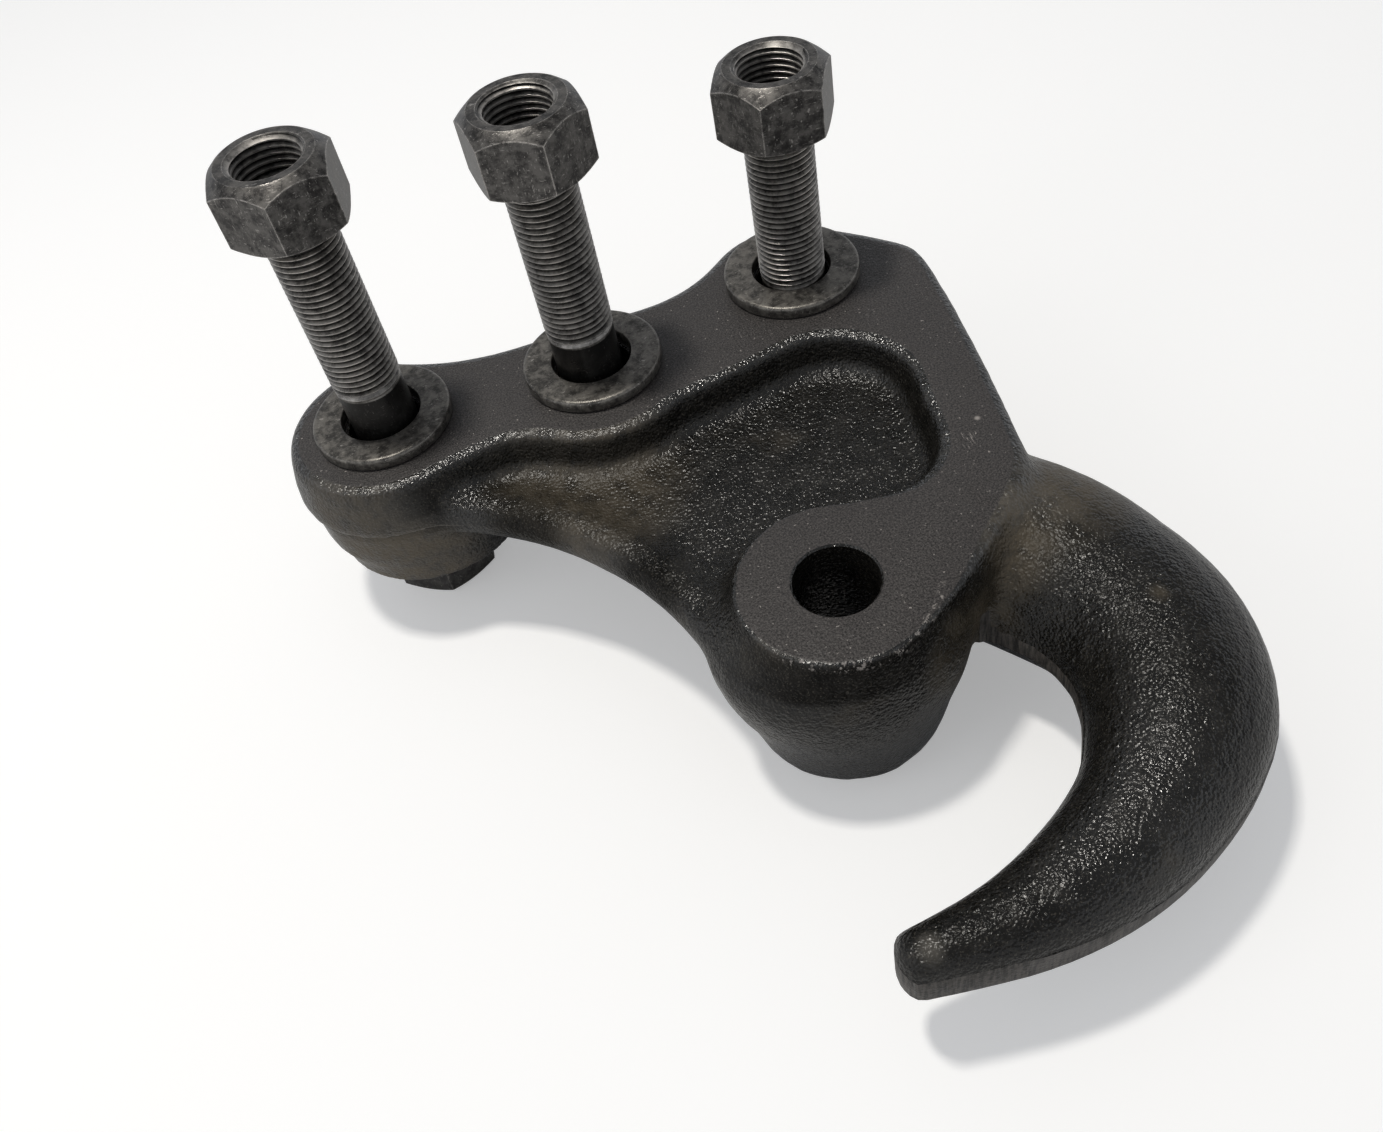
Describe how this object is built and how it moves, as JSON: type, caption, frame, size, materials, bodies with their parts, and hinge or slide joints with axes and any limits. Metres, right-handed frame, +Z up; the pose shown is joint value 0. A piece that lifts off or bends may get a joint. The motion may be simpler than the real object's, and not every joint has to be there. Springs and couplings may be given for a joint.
{
  "type": "recovery_tow_hook",
  "caption": "Drop-forged recovery tow hook with a four-boss mounting plate, loose bolts with tall hex nuts and flat washers on the mounting face",
  "frame": {"origin": "middle of the footprint at floor level, directly under the part, where the bolt heads stand", "axes": "X runs along the row of three bolts, from the first towards the hook's side; Y runs from the hook's tip towards the bolts; Z is up, square to the mounting face"},
  "size_m": [0.1762, 0.1944, 0.1215],
  "materials": {
    "forging": "oiled black forged skin",
    "bolt": "dark phosphate, worn",
    "nut": "dark phosphate, worn at the corners",
    "washer": "dark phosphate, mottled"
  },
  "bodies": {
    "root": {"tow_hook_body": "forging", "bolt_1": "bolt", "bolt_2": "bolt", "bolt_3": "bolt", "nut_1": "nut", "nut_2": "nut", "nut_3": "nut", "washer_1": "washer", "washer_2": "washer", "washer_3": "washer"}
  },
  "joints": []
}
